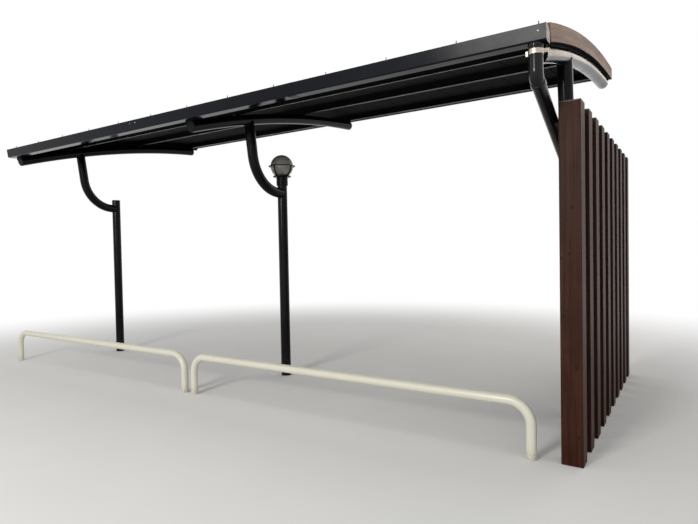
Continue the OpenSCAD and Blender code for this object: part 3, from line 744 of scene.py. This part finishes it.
bolt.rotation_euler = (math.pi / 2, 0, 0)
shank_nut = hex_screw(0.0050, 0.0030, 0.0034)
shank_nut.location = (bolt_x, bolt_out, 0)
shank_nut.rotation_euler = (-math.pi / 2, 0, 0)
alone()
bpy.ops.mesh.primitive_cylinder_add(
    vertices=10, radius=0.0015, depth=0.016, location=(bolt_x, 0.0022, 0),
    rotation=(math.pi / 2, 0, 0))
shank = bpy.context.object
take(ear, far_ear, bolt, shank_nut, shank)
bpy.ops.object.join()
clip = bpy.context.object
take(clip)
bpy.ops.object.transform_apply(location=True, rotation=True, scale=True)
band_zs = (knee_low_z - 0.160, 0.360)
clip_places = [Matrix.Translation((bay, pipe_y, clamp_z))]
for z in band_zs:
    clip_places.append(Matrix.Translation((bay, post_pipe_y, z + band_w / 2)))
clips = repeat(clip, clip_places)
settle(clips, "band_clips", band_metal)

beam_top_r = 8.27315
beam_front_y = -0.921
tab_x = post_r + 0.0033
tab_rise = math.asin((arch_y - beam_front_y) / beam_top_r)
tab_place = Matrix.Translation((bay, pipe_y, clamp_z + 0.003)) @ Matrix.Rotation(tab_rise, 4, "X")
tab_places = [tab_place @ sideways((tab_x, far, 0), 1) for far in (0.041, 0.064)]
tab_screws = repeat(hex_screw(0.007, 0.0035, 0.0055), tab_places)
settle(tab_screws, "tab_screws", band_metal)


# The lamp on the middle post is a cast black base with a smoked plastic globe in a
# ring and four ribs; the bulb stands inside on its holder.
lamp_black = moulded_plastic(
    "lamp_black", (0.003, 0.003, 0.004, 1), (0.007, 0.007, 0.008, 1), 0.30)
dress(lamp_black, "lamp_black", "lamp_base", "lamp_cage")

# The globe is a smoke-grey moulding, hazed a little more on its top, where dust settles.
lamp_glass, globe, pane, globe_at = new_finish("lamp_glass")
globe_haze = mottle(globe, globe_at, 14.0, 2.0, 0.4)
globe_height = put(globe, "SeparateXYZ", {"Vector": globe_at}).outputs["Z"]
globe_top = fade(globe, globe_height, 1.70, 1.78)
veil = calc(globe, "MULTIPLY", globe_top, fade(globe, globe_haze, 0.3, 0.8))
globe_colour = tint(globe, veil, (0.44, 0.43, 0.40, 1), (0.37, 0.36, 0.33, 1))
globe_rough = fade(globe, globe_haze, 0.3, 0.7, 0.30, 0.38)
lay_on(globe, pane, globe_colour, globe_rough, globe_haze, 0.05, 0.001)
pane.inputs["Transmission Weight"].default_value = 0.72
pane.inputs["IOR"].default_value = 1.45
dress(lamp_glass, "lamp_glass", "lamp_globe")

# A plain holder stands in the base with a pear-shaped bulb on it.
collar_z = 1.592
holder_r = 0.021
holder_h = 0.034
alone()
bpy.ops.mesh.primitive_cylinder_add(
    vertices=32, radius=holder_r, depth=holder_h, location=(0, 0, collar_z - 0.009))
holder = bpy.context.object
bpy.ops.object.mode_set(mode="EDIT")
pick("FACE", lambda at: at.z > holder_h * 0.47)
bpy.ops.mesh.inset(thickness=0.004)
bpy.ops.mesh.extrude_region_move(TRANSFORM_OT_translate={"value": (0, 0, -0.004)})
bpy.ops.object.mode_set(mode="OBJECT")
modify(holder, "BEVEL", width=0.0012, segments=2)
smooth(holder)
settle(holder, "bulb_holder", cap_plastic)

bulb_white, milk, shell, bulb_at = new_finish("bulb_white")
bulb_haze = mottle(milk, bulb_at, 40.0, 3.0)
bulb_colour = tint(milk, bulb_haze, (0.78, 0.77, 0.74, 1), (0.86, 0.85, 0.82, 1))
milk.links.new(bulb_colour, shell.inputs["Base Color"])
milk.links.new(fade(milk, bulb_haze, 0.3, 0.7, 0.22, 0.34), shell.inputs["Roughness"])
bulb_neck_r = 0.013
bulb_neck_h = 0.020
alone()
bpy.ops.mesh.primitive_cylinder_add(
    vertices=32, radius=bulb_neck_r, depth=bulb_neck_h, location=(0, 0, collar_z + 0.016))
bulb = bpy.context.object
bpy.ops.object.mode_set(mode="EDIT")
pick("FACE", lambda at: at.z > bulb_neck_h * 0.45)
for grow, rise in ((1.25, 0.010), (1.35, 0.012), (1.18, 0.012), (1.03, 0.012),
                   (0.93, 0.011), (0.78, 0.009), (0.52, 0.006)):
    bpy.ops.mesh.extrude_region_move(TRANSFORM_OT_translate={"value": (0, 0, rise)})
    bpy.ops.transform.resize(value=(grow, grow, 1))
bpy.ops.object.mode_set(mode="OBJECT")
modify(bulb, "SUBSURF", levels=2, render_levels=2)
smooth(bulb, 60)
settle(bulb, "lamp_bulb", bulb_white)

# Three screws through the base's sleeve clamp it to the post.
sleeve_r = 0.0446
sleeve_screw_z = 1.524
forward = Matrix.Translation((0, -sleeve_r, sleeve_screw_z)) @ Matrix.Rotation(math.pi / 2, 4, "X")
sleeve_places = [Matrix.Rotation(math.radians(turn), 4, "Z") @ forward for turn in (30, 150, 270)]
sleeve_screws = repeat(dome_head(0.0036, 0.0026), sleeve_places)
settle(sleeve_screws, "lamp_screws", black_zinc)


# The screen is a row of square aluminium columns in a dark wood film, with the grain
# upright and different on each, closed by flat caps.
column_first = -0.755
column_pitch = 0.215


def up_column(tree, at):
    """The place on a column, with each column's grain cut from another plank."""
    apart = put(tree, "SeparateXYZ", {"Vector": at}).outputs
    deep = calc(tree, "SUBTRACT", apart["Y"], column_first - 0.05)
    row = calc(tree, "DIVIDE", deep, column_pitch)
    shift = calc(tree, "MULTIPLY", calc(tree, "FLOOR", row), 3.71)
    high = calc(tree, "ADD", apart["Z"], shift)
    return put(tree, "CombineXYZ", {"X": apart["X"], "Y": apart["Y"], "Z": high}).outputs[0]


column_film = grain_film(
    "column_film", (0.0140, 0.0046, 0.0024, 1), (0.0435, 0.0155, 0.0085, 1),
    0.42, 0.075, 0.36, up_column)
cap_film = grain_film(
    "column_cap", (0.010, 0.0066, 0.0050, 1), (0.024, 0.0150, 0.0115, 1),
    0.34, 0.25, 0.85, up_column)
dress(column_film, "screen_film", "screen_columns")
dress(cap_film, "screen_cap", "screen_caps")


# The two floor hoops are steel tubes, each bent to an upright loop and coated in thick
# cream enamel; their feet are set straight into the floor.
def enamel(name, colour, worn):
    """Thick glossy paint, a little duller in patches, with grime in its low parts."""
    finish, tree, paint, where = new_finish(name)
    height = put(tree, "SeparateXYZ", {"Vector": where}).outputs["Z"]
    clouds = mottle(tree, where, 9.0, 5.0, 0.6)
    specks = mottle(tree, where, 120.0, 6.0, 0.72)
    streaks = mottle(tree, where, 34.0, 4.0, 0.6, (1, 1, 0.12))
    base = tint(tree, clouds, colour, worn)
    splash = fade(tree, specks, 0.40, 0.64, 0.1, 0.6)
    low = calc(tree, "MULTIPLY", fade(tree, height, 0.07, 0.0), splash)
    marks = calc(tree, "MULTIPLY", fade(tree, streaks, 0.60, 0.78), 0.14)
    spots = calc(tree, "MULTIPLY", fade(tree, specks, 0.70, 0.78), 0.30)
    dirt = calc(tree, "MAXIMUM", calc(tree, "MAXIMUM", low, marks), spots, clamp=True)
    colour = tint(tree, dirt, base, (0.20, 0.165, 0.115, 1))
    rough = calc(tree, "MULTIPLY_ADD", dirt, 0.4, fade(tree, clouds, 0.3, 0.7, 0.26, 0.40))
    peel = mottle(tree, where, 260.0, 2.0)
    lay_on(tree, paint, colour, rough, peel, 0.3, 0.0006)
    return finish


hoop_enamel = enamel("hoop_enamel", (0.68, 0.66, 0.56, 1), (0.62, 0.60, 0.50, 1))
dress(hoop_enamel, "hoop_cream", "floor_hoop_left", "floor_hoop_right")
